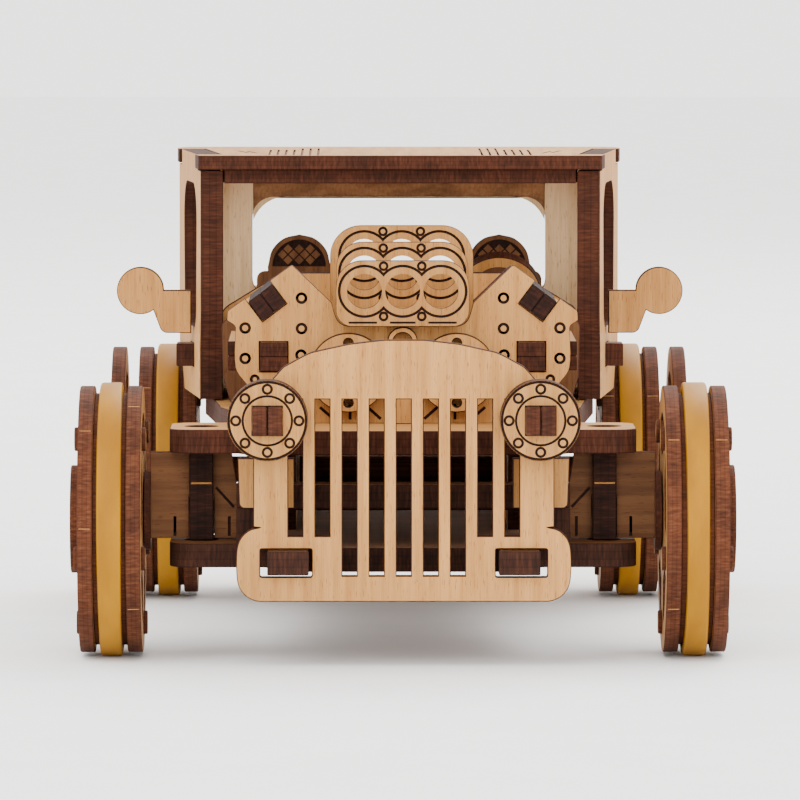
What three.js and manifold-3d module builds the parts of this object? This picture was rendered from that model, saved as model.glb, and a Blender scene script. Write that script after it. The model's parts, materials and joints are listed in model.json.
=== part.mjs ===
// Wooden hot-rod car kit: laser-cut plywood plates that slot together.
// Millimetres, +Z up. The car faces -Y, its left side is +X, and the wheels stand on Z = 0.
// The origin is on the ground, in the middle of the car's length and width.
import * as THREE from 'three';
import { mergeVertices } from 'three/addons/utils/BufferGeometryUtils.js';
import Module from 'manifold-3d';

const wasm = await Module();
wasm.setup();

// ---------------------------------------------------------------- driving dimensions
const PLY = 2.6;              // thin plywood
const THICK = 4.2;            // thick plywood
const FIT = 0.15;             // clearance round a tab in its slot
const CUT_GAP = 0.3;          // clearance beside a turned or moving neighbour
const JOINT_GAP = 0.2;        // open joint between two plies that lie side by side
const HALF_LENGTH = 94;       // the car runs from -94 to +94
const FRONT_AXLE_Y = -60;
const REAR_AXLE_Y = 67;

const TYRE_R = 24.1;
const DISC_R = 23.5;
const RIM_R = 22.2;           // bottom of the groove that holds the rubber band
const TYRE_WIDTH = 4.3;
const GROOVE = 5.8;           // between the two wheel discs
const AXLE_R = 2.5;
const BORE_R = 2.58;
const WHEEL_Z = TYRE_R;
const FRONT_WHEEL_X = 45.8;   // inner face of a front wheel
const REAR_WHEEL_X = 38.4;    // inner face of a rear wheel
const HUBCAP_R = 9.5;
const HUBCAP_T = 1.7;

const BOTTOM_Z = 16.3;        // underside of the bottom chassis plate
const TOP_Z = 36.3;           // underside of the top chassis plate
const DECK_Z = TOP_Z + THICK; // what the engine and the cab stand on
const CROSSBAR_HALF = 41;
const CROSSBAR_DEPTH = 20;
const RAIL_X = 19;            // inner face of a side rail
const KINGPIN_X = 35.5;
const STEER_ARM = 13;         // from the kingpin back to the tie rod's pin

const GRILLE_Y = -86;         // front face of the grille
const HEADLIGHT_X = 23.6;
const HEADLIGHT_Z = 43.4;
const HEADLIGHT_R = 7;

const ENGINE_FRONT_Y = -52;   // front face of the engine's front plate
const ENGINE_REAR_Y = -14;    // front face of the engine's rear plate
const BANK_TILT = 36.7;       // degrees, slope of the cylinder banks' outer edges
const PULLEY_X = 9.6;
const PULLEY_Z = 49.6;
const PULLEY_R = 7;
const PEG_R = 1.5;            // the peg that a pulley turns on

const CAB_FRONT_Y = 12;
const CAB_LENGTH = 46;
const CAB_HALF_FRONT = 36.9;  // outer face of a cab side at its front edge
const CAB_FLARE = 6;          // degrees that each side turns outward towards the back
const ROOF_TOP_Z = 86;
const FLOOR_Z = 46.2;
const STEERING_X = 18.6;
const STEERING_Z = 59.7;     // centre of the steering wheel's ring
const DASH_HOLE_Z = 55;

// ---------------------------------------------------------------- materials
const wood = (colour) => new THREE.MeshStandardMaterial({ color: colour, roughness: 0.7, metalness: 0 });
const PALE = 0xdcb98a;
const LIGHT = 0xe8cfa4;
const SHADED = 0xc79f6d;
const BURNT = 0x6b4428;
const RUBBER = 0xc2a044;
const rubber = () => new THREE.MeshStandardMaterial({ color: RUBBER, roughness: 0.55, metalness: 0 });

// ---------------------------------------------------------------- outlines
const rad = THREE.MathUtils.degToRad;
const WELD = 0.01;            // points nearer than this are one point
const CORNER_STEP = rad(30);  // a rounded corner has one facet for each such step

// A closed outline whose corners are rounded: each corner is [u, v] or [u, v, radius].
function outline(corners) {
  const points = [];
  const count = corners.length;
  const put = (point) => {
    if (points.length === 0 || points[points.length - 1].distanceTo(point) > WELD) points.push(point);
  };
  for (let i = 0; i < count; i += 1) {
    const [u, v, radius = 0] = corners[i];
    const here = new THREE.Vector2(u, v);
    if (radius === 0) {
      put(here);
      continue;
    }
    const before = new THREE.Vector2(...corners[(i + count - 1) % count].slice(0, 2)).sub(here).normalize();
    const after = new THREE.Vector2(...corners[(i + 1) % count].slice(0, 2)).sub(here).normalize();
    const half = Math.acos(THREE.MathUtils.clamp(before.dot(after), -1, 1)) / 2;
    const start = here.clone().addScaledVector(before, radius / Math.tan(half));
    const centre = here.clone().add(before.clone().add(after).setLength(radius / Math.sin(half)));
    const turn = (Math.PI - 2 * half) * (before.cross(after) > 0 ? -1 : 1);
    const steps = Math.ceil(Math.abs(turn) / CORNER_STEP);
    for (let step = 0; step <= steps; step += 1) {
      put(start.clone().rotateAround(centre, turn * step / steps));
    }
  }
  if (points[0].distanceTo(points[points.length - 1]) < WELD) points.pop();
  return new THREE.Shape(points);
}

const mirrored = (corners) => corners.map(([u, v, radius = 0]) => [-u, v, radius]).reverse();

// A symmetric outline from its right half, listed from the bottom to the top.
const symmetric = (right) => outline([...right, ...mirrored(right)]);

const box = (u0, v0, u1, v1, radius = 0) => outline([
  [u0, v0, radius], [u1, v0, radius], [u1, v1, radius], [u0, v1, radius],
]);

// Points along an arc round (u, v).
function arc(u, v, radius, from, to, steps) {
  return Array.from({ length: steps + 1 }, (_, i) => {
    const angle = from + (to - from) * i / steps;
    return new THREE.Vector2(u + radius * Math.cos(angle), v + radius * Math.sin(angle));
  });
}

// A round outline; small pins and holes get fewer sides than wheels.
function disc(u, v, radius) {
  const sides = radius < 2 ? 8 : radius < 12 ? 20 : 40;
  return new THREE.Shape(arc(u, v, radius, 0, Math.PI * 2, sides).slice(0, sides));
}

// The part of a ring that lies within an angle of its middle direction.
function sector(u, v, outer, inner, middle, outerHalf, innerHalf) {
  return new THREE.Shape([
    ...arc(u, v, outer, middle - outerHalf, middle + outerHalf, 3),
    ...arc(u, v, inner, middle + innerHalf, middle - innerHalf, 2),
  ]);
}

// Cuts holes (other outlines) in an outline.
function pierced(shape, ...holes) {
  shape.holes.push(...holes);
  return shape;
}

// ---------------------------------------------------------------- solids
function toManifold(geometry) {
  const bare = geometry.clone();
  bare.deleteAttribute('normal');
  bare.deleteAttribute('uv');
  const merged = mergeVertices(bare, 1e-4);
  const vertProperties = Float32Array.from(merged.attributes.position.array);
  const triVerts = Uint32Array.from(merged.index.array);
  return new wasm.Manifold(new wasm.Mesh({ numProp: 3, vertProperties, triVerts }));
}

function toGeometry(manifold) {
  const mesh = manifold.getMesh();
  const geometry = new THREE.BufferGeometry();
  geometry.setAttribute('position', new THREE.BufferAttribute(Float32Array.from(mesh.vertProperties), 3));
  geometry.setIndex(new THREE.BufferAttribute(Uint32Array.from(mesh.triVerts), 1));
  geometry.computeVertexNormals();
  return geometry;
}

const union = (...parts) => toGeometry(parts.map(toManifold).reduce((all, one) => all.add(one)));
const difference = (body, ...cutters) => toGeometry(
  cutters.map(toManifold).reduce((all, one) => all.subtract(one), toManifold(body)),
);

// A plate's solid, lying in its own U-V plane, with each of its holes cut right through.
function extruded(shape, thickness) {
  const prism = (flat, depth) => new THREE.ExtrudeGeometry(
    new THREE.Shape(flat.getPoints()), { depth, bevelEnabled: false },
  );
  const blank = prism(shape, thickness);
  if (shape.holes.length === 0) return blank;
  return difference(blank, ...shape.holes.map((hole) => prism(hole, thickness + 2).translate(0, 0, -1)));
}

// A plate that faces forward: its outline is drawn in X and Z, and y is its front face.
function facing(shape, y, thickness = PLY) {
  const geometry = extruded(shape, thickness);
  geometry.rotateX(Math.PI / 2);
  geometry.translate(0, y + thickness, 0);
  return geometry;
}

// A level plate: its outline is drawn in X and Y, and z is its underside.
function level(shape, z, thickness = PLY) {
  const geometry = extruded(shape, thickness);
  geometry.translate(0, 0, z);
  return geometry;
}

// A plate that faces sideways: its outline is drawn in Y and Z, and x is its face nearer -X.
function sideways(shape, x, thickness = PLY) {
  const geometry = extruded(shape, thickness);
  geometry.applyMatrix4(new THREE.Matrix4().makeBasis(
    new THREE.Vector3(0, 1, 0), new THREE.Vector3(0, 0, 1), new THREE.Vector3(1, 0, 0),
  ));
  geometry.translate(x, 0, 0);
  return geometry;
}

const car = new THREE.Group();

function add(name, geometry, material, parent = car) {
  const mesh = new THREE.Mesh(geometry, material);
  mesh.name = name;
  parent.add(mesh);
  return mesh;
}

// The two sides of the car: the car's left is +X.
const SIDES = [['left', 1], ['right', -1]];

// Puts a facing or level shape's lower X first, whichever side it is on.
const sideBox = (sign, x0, v0, x1, v1, radius = 0) => (
  sign > 0 ? box(x0, v0, x1, v1, radius) : box(-x1, v0, -x0, v1, radius)
);
const sideOutline = (sign, corners) => outline(sign > 0 ? corners : mirrored(corners));
const sideX = (sign, x, thickness) => (sign > 0 ? x : -x - thickness);

// ---------------------------------------------------------------- chassis
const CROSSBAR_FRONT = FRONT_AXLE_Y - CROSSBAR_DEPTH / 2;
const CROSSBAR_BACK = FRONT_AXLE_Y + CROSSBAR_DEPTH / 2;
const KINGPIN_HOLE_R = 2.95;
const BUMPER_TAB_X = 16.5;
const BUMPER_TAB_WIDTH = 7.2;
const BUMPER_TAB_Y = GRILLE_Y - 1.4;
const REAR_TAB_Y = HALF_LENGTH;
const CROSSMEMBER_HALF = 29.2;
const CROSSMEMBER_Z = 26.9;
const kingpinHoles = () => SIDES.map(([, sign]) => disc(sign * KINGPIN_X, FRONT_AXLE_Y, KINGPIN_HOLE_R));

function chassis() {
  const bottom = symmetric([
    [BUMPER_TAB_X, -80], [BUMPER_TAB_X, BUMPER_TAB_Y],
    [BUMPER_TAB_X + BUMPER_TAB_WIDTH, BUMPER_TAB_Y], [BUMPER_TAB_X + BUMPER_TAB_WIDTH, CROSSBAR_FRONT, 2],
    [CROSSBAR_HALF, CROSSBAR_FRONT, 4], [CROSSBAR_HALF, CROSSBAR_BACK, 4], [27, CROSSBAR_BACK, 2],
    [25, 52, 3], [30, 60, 3], [30, 78, 3], [BUMPER_TAB_X + BUMPER_TAB_WIDTH, 86, 2],
    [BUMPER_TAB_X + BUMPER_TAB_WIDTH, REAR_TAB_Y], [BUMPER_TAB_X, REAR_TAB_Y], [BUMPER_TAB_X, 86],
  ]);
  add('chassis_bottom_plate', level(pierced(bottom, ...kingpinHoles()), BOTTOM_Z, THICK), wood(SHADED));

  const top = symmetric([
    [27, CROSSBAR_FRONT - 4, 3], [29, CROSSBAR_FRONT], [CROSSBAR_HALF, CROSSBAR_FRONT, 4],
    [CROSSBAR_HALF, CROSSBAR_BACK, 4], [28, CROSSBAR_BACK, 3], [28, -30, 3], [33, -6, 3], [34, 10, 2],
    [36.5, 40, 3], [36.5, 88, 3],
  ]);
  add('chassis_top_plate', level(pierced(top, ...kingpinHoles()), TOP_Z, THICK), wood(PALE));

  // The crossmember stands on two feet on the bottom plate.
  const crossmember = symmetric([[CROSSMEMBER_HALF, -74, 2], [CROSSMEMBER_HALF, -66, 2]]);
  const feet = SIDES.map(([, sign]) => level(
    sideBox(sign, CROSSMEMBER_HALF - 5, -74, CROSSMEMBER_HALF, -66, 0.5),
    BOTTOM_Z + THICK, CROSSMEMBER_Z - BOTTOM_Z - THICK + 0.01,
  ));
  add('front_crossmember', union(level(crossmember, CROSSMEMBER_Z, THICK), ...feet), wood(SHADED));

  for (const [side, sign] of SIDES) {
    const rail = pierced(
      outline([
        [-38, BOTTOM_Z + THICK], [80, BOTTOM_Z + THICK], [80, TOP_Z], [-38, TOP_Z],
      ]),
      disc(REAR_AXLE_Y, WHEEL_Z, BORE_R),
      ...[-26, -4, 18, 40].map((start) => box(start, 24, start + 16, 33)),
    );
    add(`chassis_rail_${side}`, sideways(rail, sideX(sign, RAIL_X, PLY), PLY), wood(PALE));
    const stay = sideOutline(sign, [
      [19, 27.4], [28.6, 27.4, 1], [28.9, 36, 1], [28.9, TOP_Z - FIT], [19, TOP_Z - FIT],
    ]);
    add(`grille_stay_${side}`, facing(stay, -80, PLY), wood(LIGHT));
  }

  const bumper = pierced(
    symmetric([[29, 11.6, 4.3], [29, 23.6, 4.3], [22, 27, 3]]),
    ...SIDES.map(([, sign]) => sideBox(
      sign, BUMPER_TAB_X - FIT, BOTTOM_Z - FIT,
      BUMPER_TAB_X + BUMPER_TAB_WIDTH + FIT, BOTTOM_Z + THICK + FIT,
    )),
  );
  add('rear_bumper', facing(bumper, HALF_LENGTH - PLY - 1, PLY), wood(LIGHT));
}

// ---------------------------------------------------------------- grille and headlights
const SLOT_WIDTH = 2.5;
const SLOT_PITCH = 4.7;
const SLOT_TOP = 46.8;
const SLOT_BOTTOM = 16.1;
const OUTER_SLOT_BOTTOM = 23;
const BRACKET_WIDTH = 2 * PLY;
const BRACKET_HEIGHT = 5;
const BRACKET_ARM_END = -72;  // behind this the bracket rests on the chassis
const BUMPER_SLOT = [15.95, 24.9];

// The square hole that a headlight's bracket passes through.
function bracketSlot(sign) {
  const halfWidth = BRACKET_WIDTH / 2 + FIT;
  const halfHeight = BRACKET_HEIGHT / 2 + FIT;
  const x = sign * HEADLIGHT_X;
  return box(x - halfWidth, HEADLIGHT_Z - halfHeight, x + halfWidth, HEADLIGHT_Z + halfHeight);
}

function grille() {
  const frame = symmetric([
    [29, 11.6, 4.3], [29, 24.6, 4.3], [26.1, 24.6], [26.1, 46.5, 2],
    [20.9, 52.4, 1.5], [16.3, 54.9, 6], [9.5, 56.4, 12], [3.5, 57.1, 12],
  ]);
  const holes = [];
  for (let i = -4; i <= 4; i += 1) {
    const foot = Math.abs(i) > 2 ? OUTER_SLOT_BOTTOM : SLOT_BOTTOM;
    holes.push(box(i * SLOT_PITCH - SLOT_WIDTH / 2, foot, i * SLOT_PITCH + SLOT_WIDTH / 2, SLOT_TOP));
  }
  for (const [, sign] of SIDES) {
    holes.push(sideBox(sign, BUMPER_SLOT[0], 15.9, BUMPER_SLOT[1], 20.8, 0.3));
    holes.push(bracketSlot(sign));
  }
  add('grille', facing(pierced(frame, ...holes), GRILLE_Y, PLY), wood(PALE));

  for (const [side, sign] of SIDES) {
    const x = sign * HEADLIGHT_X;
    const lamp = pierced(disc(x, HEADLIGHT_Z, HEADLIGHT_R), bracketSlot(sign));
    add(`headlight_${side}`, facing(lamp, GRILLE_Y - 2 * PLY, 2 * PLY), wood(LIGHT));

    // The two plies of the bracket, with the saw-thin joint between them open at the front.
    const low = HEADLIGHT_Z - BRACKET_HEIGHT / 2;
    const high = HEADLIGHT_Z + BRACKET_HEIGHT / 2;
    const arm = outline([
      [-HALF_LENGTH, low], [-74, low], [BRACKET_ARM_END, DECK_Z], [-54, DECK_Z],
      [-54, high + 1.2, 3], [-66, high + 1.2, 3], [-82, high], [-HALF_LENGTH, high],
    ]);
    const solid = sideways(arm, x - BRACKET_WIDTH / 2, BRACKET_WIDTH);
    const jointOutline = box(x - JOINT_GAP / 2, -HALF_LENGTH - 1, x + JOINT_GAP / 2, BRACKET_ARM_END);
    const joint = level(jointOutline, low - 1, BRACKET_HEIGHT + 3);
    add(`headlight_bracket_${side}`, difference(solid, joint), wood(BURNT));
  }
}

// ---------------------------------------------------------------- engine
const SCOOP_HOLE_R = 3.1;
const SCOOP_PITCH = 6.75;
const SCOOP_BOTTOM = 57.9;
const SPINE_CENTRE = [24, 61.9];
const SPINE_LONG = 2 * PLY;
const SPINE_DEEP = 4.25;
const SPINE_LENGTH = 26;
const COVER_CENTRE = [23.8, 62.3];
const COVER_WIDTH = 12;
const VALLEY_HALF = 11.4;     // half-width of the floor between the cylinder banks
const REAR_DROP = 2;          // how much lower the rear plate's banks are
const DECK_TAB = [20.4, 25.3];
const TAB_PROUD = 0.5;        // how far a tab stands out of its slot
const DECK_STACK_Z = 49.7;
const DECK_HALF = 31;

// A rectangle centred at (x, z), with its long side along the bank's slope.
function banked(sign, x, z, long, deep) {
  const along = new THREE.Vector2(-Math.cos(rad(BANK_TILT)), Math.sin(rad(BANK_TILT)));
  const out = new THREE.Vector2(Math.sin(rad(BANK_TILT)), Math.cos(rad(BANK_TILT)));
  const corner = (a, b) => [
    sign * (x + along.x * a * long / 2 + out.x * b * deep / 2),
    z + along.y * a * long / 2 + out.y * b * deep / 2,
  ];
  const corners = [corner(1, -1), corner(-1, -1), corner(-1, 1), corner(1, 1)];
  return outline(sign > 0 ? corners : corners.reverse());
}

// An engine plate seen from the front; drop lowers the tops of its two cylinder banks.
function enginePlate(y, drop) {
  const half = [
    [25, DECK_Z], [25, 44.5, 1], [27.8, 47.6], [29.6, 50.4], [29.6, 57.4], [31.1, 58.8 - drop / 2],
    [31, 60.4 - drop, 0.4], [19.6, 68.6 - drop, 0.5], [12.6, 61.9 - drop, 0.5],
    [VALLEY_HALF, 57.7 - drop, 2.5],
  ];
  const deckSlot = (sign) => sideBox(
    sign, DECK_TAB[0] - FIT, DECK_STACK_Z - FIT, DECK_TAB[1] + FIT, DECK_STACK_Z + 2 * PLY + FIT,
  );
  const pegHole = (sign) => disc(sign * PULLEY_X, PULLEY_Z, PEG_R + 0.1);
  const plate = pierced(
    symmetric(half),
    ...SIDES.map(([, sign]) => deckSlot(sign)),
    ...SIDES.map(([, sign]) => pegHole(sign)),
  );
  return facing(plate, y, PLY);
}

// The open slot in a bank's top that holds the spine under the valve cover.
function spineNotch(sign, y) {
  const open = 3;
  const [x, z] = SPINE_CENTRE;
  const slot = banked(
    sign, x + open / 2 * Math.sin(rad(BANK_TILT)), z + open / 2 * Math.cos(rad(BANK_TILT)),
    SPINE_LONG + 2 * FIT, SPINE_DEEP + open + 2 * FIT,
  );
  return facing(slot, y - 1, PLY + 2);
}

// One plate of the air scoop; joined is a solid that is glued to it.
function scoopPlate(name, y, bottom, holeZ, top, halfWidth, shoulder, joined) {
  const plate = symmetric([[halfWidth, bottom, 2.8], [halfWidth, top, shoulder]]);
  const holes = [-1, 0, 1].map((i) => disc(i * SCOOP_PITCH, holeZ, SCOOP_HOLE_R));
  const solid = facing(pierced(plate, ...holes), y, PLY);
  add(name, joined ? union(solid, joined) : solid, wood(PALE));
}

function engine() {
  const notches = SIDES.map(([, sign]) => spineNotch(sign, ENGINE_FRONT_Y));
  add('engine_front_plate', difference(enginePlate(ENGINE_FRONT_Y, 0), ...notches), wood(LIGHT));
  add('engine_rear_plate', enginePlate(ENGINE_REAR_Y, REAR_DROP), wood(PALE));

  for (const [index, name] of ['engine_deck_lower', 'engine_deck_upper'].entries()) {
    const front = ENGINE_FRONT_Y + PLY + FIT;
    const back = ENGINE_REAR_Y - FIT;
    const frontTip = ENGINE_FRONT_Y - TAB_PROUD;
    const backTip = ENGINE_REAR_Y + PLY + TAB_PROUD;
    const deck = symmetric([
      [DECK_TAB[0], front], [DECK_TAB[0], frontTip], [DECK_TAB[1], frontTip], [DECK_TAB[1], front],
      [DECK_HALF, front], [DECK_HALF, back],
      [DECK_TAB[1], back], [DECK_TAB[1], backTip], [DECK_TAB[0], backTip], [DECK_TAB[0], back],
    ]);
    add(name, level(deck, DECK_STACK_Z + index * PLY, PLY), wood(index ? PALE : SHADED));
  }

  for (const [side, sign] of SIDES) {
    // The spine is two plies side by side, with the thin joint between them open at the front.
    const spine = facing(
      banked(sign, ...SPINE_CENTRE, SPINE_LONG, SPINE_DEEP), ENGINE_FRONT_Y - TAB_PROUD, SPINE_LENGTH,
    );
    const joint = facing(
      banked(sign, ...SPINE_CENTRE, JOINT_GAP, SPINE_DEEP + 0.4), ENGINE_FRONT_Y - 2 * TAB_PROUD, PLY,
    );

    // The cover is glued along the spine, between the two engine plates.
    const cover = facing(
      banked(sign, ...COVER_CENTRE, COVER_WIDTH, PLY),
      ENGINE_FRONT_Y + PLY + FIT, ENGINE_REAR_Y - ENGINE_FRONT_Y - PLY - 2 * FIT,
    );
    add(`valve_cover_${side}`, union(difference(spine, joint), cover), wood(SHADED));
  }

  const pump = pierced(
    symmetric([[2.2, DECK_Z], [2.2, 52.2], [2.7, 53.2], [2.7, 57.7, 2.69]]),
    disc(0, 55, 1.7),
  );
  add('water_pump_plate', facing(pump, ENGINE_FRONT_Y - PLY, PLY), wood(LIGHT));

  scoopPlate('scoop_front', -56, SCOOP_BOTTOM, 64.1, 69.5, 11.75, 4.6);
  scoopPlate('scoop_rear', -28, SCOOP_BOTTOM - 1.4, 69.1, 74.6, 12.9, 5.6);
  const base = level(symmetric([[9, -56 + PLY + FIT], [9, -28 - FIT]]), SCOOP_BOTTOM + 0.1, PLY);
  scoopPlate('scoop_middle', -42, SCOOP_BOTTOM, 66.7, 72.2, 11.75, 4.6, base);
}

// ---------------------------------------------------------------- the engine's pulleys
function pulleys() {
  for (const [side, sign] of SIDES) {
    const x = sign * PULLEY_X;
    const plate = disc(x, PULLEY_Z, PULLEY_R);
    for (let i = 0; i < 6; i += 1) {
      const angle = Math.PI / 2 + i * Math.PI / 3;
      plate.holes.push(disc(x + 5.3 * Math.cos(angle), PULLEY_Z + 5.3 * Math.sin(angle), 0.8));
    }
    const wheel = facing(plate, ENGINE_FRONT_Y - FIT - PLY, PLY);
    const peg = facing(disc(x, PULLEY_Z, PEG_R), ENGINE_FRONT_Y - FIT - PLY - 0.4, 2 * PLY + 0.4);
    add(`pulley_${side}`, union(wheel, peg), wood(LIGHT));
  }
}

// ---------------------------------------------------------------- cab
const ROOF_Z = ROOF_TOP_Z - PLY;
const REAR_PANEL_Y = 52;
const WINDOW_HALF = 27.8;
const WINDOW_TOP_Z = 76.8;
const FIREWALL_Y = -4;
const DASH_Y = CAB_FRONT_Y + 9;
const EAR_DEPTH = 6;
const HEADER_DEPTH = 7;
const ROOF_OVERHANG = 7;      // how far the roof reaches behind the cab's sides
const ARCH_R = 26;            // the rear wheel's clearance in a cab side
const FLOOR_TAB = 14;         // from the cab's front edge to the floor's tab
const FLOOR_TAB_REACH = 3.3;  // how far the tab sticks out of the cab's side
const flare = Math.tan(rad(CAB_FLARE));

// Outer half-width of the cab at a given Y.
const cabHalf = (y) => CAB_HALF_FRONT + (y - CAB_FRONT_Y) * flare;
// Inner half-width, less the clearance that a straight plate keeps to the turned side.
const cabInner = (y) => cabHalf(y) - THICK / Math.cos(rad(CAB_FLARE)) - CUT_GAP;

function cabSides() {
  const window = outline([
    [10, 53.6, 4], [34, 53.6, 5], [36, 80.4, 7], [8, 80.4, 7],
  ]);
  const foot = DECK_Z + CUT_GAP;
  const axle = REAR_AXLE_Y - CAB_FRONT_Y;
  const archFrom = Math.PI - Math.asin((foot - WHEEL_Z) / ARCH_R);
  const archTo = Math.acos((CAB_LENGTH - axle) / ARCH_R);
  const arch = arc(axle, WHEEL_Z, ARCH_R, archFrom, archTo, 4).map((point) => point.toArray());
  const rearNotch = CAB_LENGTH - EAR_DEPTH;
  const floorSlot = box(FLOOR_TAB - FIT, FLOOR_Z - FIT, FLOOR_TAB + 8 + FIT, FLOOR_Z + THICK + FIT);
  for (const [side, sign] of SIDES) {
    const panel = pierced(
      outline([
        [1.5, foot], ...arch, [CAB_LENGTH, ROOF_Z - CUT_GAP],
        [rearNotch, ROOF_Z - CUT_GAP], [rearNotch, ROOF_TOP_Z], [EAR_DEPTH, ROOF_TOP_Z],
        [EAR_DEPTH, ROOF_Z - CUT_GAP], [0, ROOF_Z - CUT_GAP], [0, 57, 3], [1.5, 50, 3],
      ]),
      window, floorSlot,
    );
    const geometry = sideways(panel, sign > 0 ? -THICK : 0, THICK);
    const mesh = add(`cab_side_${side}`, geometry, wood(LIGHT));
    mesh.position.set(sign * CAB_HALF_FRONT, CAB_FRONT_Y, 0);
    mesh.rotation.z = -sign * rad(CAB_FLARE);
  }
}

function cabShell() {
  const front = CAB_FRONT_Y - 1.5;
  const back = CAB_FRONT_Y + CAB_LENGTH;
  const shoulder = CAB_FRONT_Y + EAR_DEPTH - CUT_GAP;
  const rearShoulder = back - EAR_DEPTH + CUT_GAP;
  const roof = symmetric([
    [cabHalf(front) + 0.5, front, 0.5], [cabHalf(shoulder) + 0.5, shoulder],
    [cabInner(shoulder), shoulder], [cabInner(rearShoulder), rearShoulder],
    [cabHalf(rearShoulder) + 0.5, rearShoulder],
    [cabHalf(back) + 0.3, back], [cabHalf(back) - 1, back + ROOF_OVERHANG, 4],
  ]);
  add('roof', level(roof, ROOF_Z, PLY), wood(LIGHT));

  const headerY = CAB_FRONT_Y + 0.5;
  const header = symmetric([
    [cabInner(headerY), headerY], [cabInner(headerY + HEADER_DEPTH), headerY + HEADER_DEPTH, 3],
  ]);
  add('windscreen_header', level(header, ROOF_Z - PLY, PLY), wood(SHADED));

  const rearHalf = cabInner(REAR_PANEL_Y);
  const rear = pierced(
    symmetric([[rearHalf, DECK_Z], [rearHalf, ROOF_Z]]),
    box(-WINDOW_HALF, 57.6, WINDOW_HALF, WINDOW_TOP_Z, 4),
  );
  add('rear_panel', facing(rear, REAR_PANEL_Y, PLY), wood(LIGHT));

  const floorFront = CAB_FRONT_Y + 4;
  const floorBack = REAR_PANEL_Y - FIT;
  const tabY = CAB_FRONT_Y + FLOOR_TAB + 0.5;
  const tabEnd = cabHalf(tabY) + FLOOR_TAB_REACH;
  const floor = symmetric([
    [cabInner(floorFront), floorFront], [cabInner(tabY), tabY], [tabEnd, tabY], [tabEnd, tabY + 7],
    [cabInner(tabY + 7), tabY + 7], [cabInner(floorBack), floorBack],
  ]);
  add('cab_floor', level(floor, FLOOR_Z, THICK), wood(SHADED));

  const firewall = symmetric([[31, DECK_Z], [32.6, 46, 2], [32.9, 56.8, 2]]);
  add('firewall', facing(firewall, FIREWALL_Y, PLY), wood(LIGHT));
  const scuttle = symmetric([[31.5, FIREWALL_Y + PLY], [31.5, DASH_Y - FIT]]);
  add('scuttle', level(scuttle, 54, PLY), wood(PALE));
  const dashHalf = cabInner(DASH_Y);
  const dash = symmetric([[dashHalf, FLOOR_Z + THICK], [dashHalf, 57, 3], [22, 63.9, 5]]);
  const columnHole = disc(STEERING_X, DASH_HOLE_Z, 2.9);
  add('dashboard', facing(pierced(dash, columnHole), DASH_Y, PLY), wood(SHADED));
}

// ---------------------------------------------------------------- boot
const BOOT_SIDE_X = 33.7;     // inner face of a boot side
const BOOT_HALF = 36.4;
const LID_STEPS = 9;

// The bent boot lid, from behind the rear panel down to the chassis, and the two sides under it.
function boot() {
  const curve = new THREE.CubicBezierCurve(
    new THREE.Vector2(REAR_PANEL_Y + PLY + 3.6, 57), new THREE.Vector2(72, 57.5),
    new THREE.Vector2(86, 54), new THREE.Vector2(88.6, DECK_Z + 0.1),
  );
  const under = curve.getPoints(LID_STEPS);
  const over = under.map((point, i) => {
    const along = curve.getTangent(i / LID_STEPS);
    return new THREE.Vector2(point.x - along.y * PLY, point.y + along.x * PLY);
  });
  const lid = new THREE.Shape([...over].reverse().concat(under).reverse());
  add('boot_lid', sideways(lid, -BOOT_HALF, 2 * BOOT_HALF), wood(LIGHT));
  for (const [side, sign] of SIDES) {
    const profile = new THREE.Shape([
      new THREE.Vector2(under[0].x, DECK_Z), new THREE.Vector2(under[LID_STEPS].x, DECK_Z),
      ...[...under].reverse(),
    ]);
    add(`boot_side_${side}`, sideways(profile, sideX(sign, BOOT_SIDE_X, PLY), PLY), wood(PALE));
  }
}

// ---------------------------------------------------------------- seats and mirrors
const SEAT_X = 18.9;
const SEAT_BACK_Y = 46;
const CUSHION_DEPTH = 7.5;
const SEAT_TOP_Z = FLOOR_Z + THICK;

function seats() {
  for (const [side, sign] of SIDES) {
    const x = sign * SEAT_X;
    const back = outline([
      [x - 8, SEAT_TOP_Z], [x + 8, SEAT_TOP_Z], [x + 8, 63, 1.5], [x + 5.9, 63],
      [x + 5.9, 69.9, 5.85], [x - 5.9, 69.9, 5.85], [x - 5.9, 63], [x - 8, 63, 1.5],
    ]);
    const cushion = outline([
      [x - 8, SEAT_BACK_Y - CUSHION_DEPTH, 3], [x + 8, SEAT_BACK_Y - CUSHION_DEPTH, 3],
      [x + 8, SEAT_BACK_Y + 0.1], [x - 8, SEAT_BACK_Y + 0.1],
    ]);
    add(`seat_${side}`, union(facing(back, SEAT_BACK_Y, PLY), level(cushion, SEAT_TOP_Z, PLY)), wood(PALE));
  }
}

function mirrors() {
  const y = 26;
  const inner = cabHalf(y + PLY) + CUT_GAP;
  for (const [side, sign] of SIDES) {
    const arm = sideOutline(sign, [
      [inner, 52.4], [44.4, 52.4, 1.5], [46.2, 57.2, 1], [46.2, 60.4], [inner, 60.4],
    ]);
    const glass = disc(sign * 48.4, 60.3, 4.4);
    add(`mirror_${side}`, union(facing(arm, y, PLY), facing(glass, y, PLY)), wood(PALE));
  }
}

// ---------------------------------------------------------------- steering wheel
const COLUMN_TILT = 24;       // degrees that the steering column rises towards the driver
const RING_R = 7.9;
const RING_INNER_R = 5.7;
const COLUMN_LENGTH = 12.5;

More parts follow.
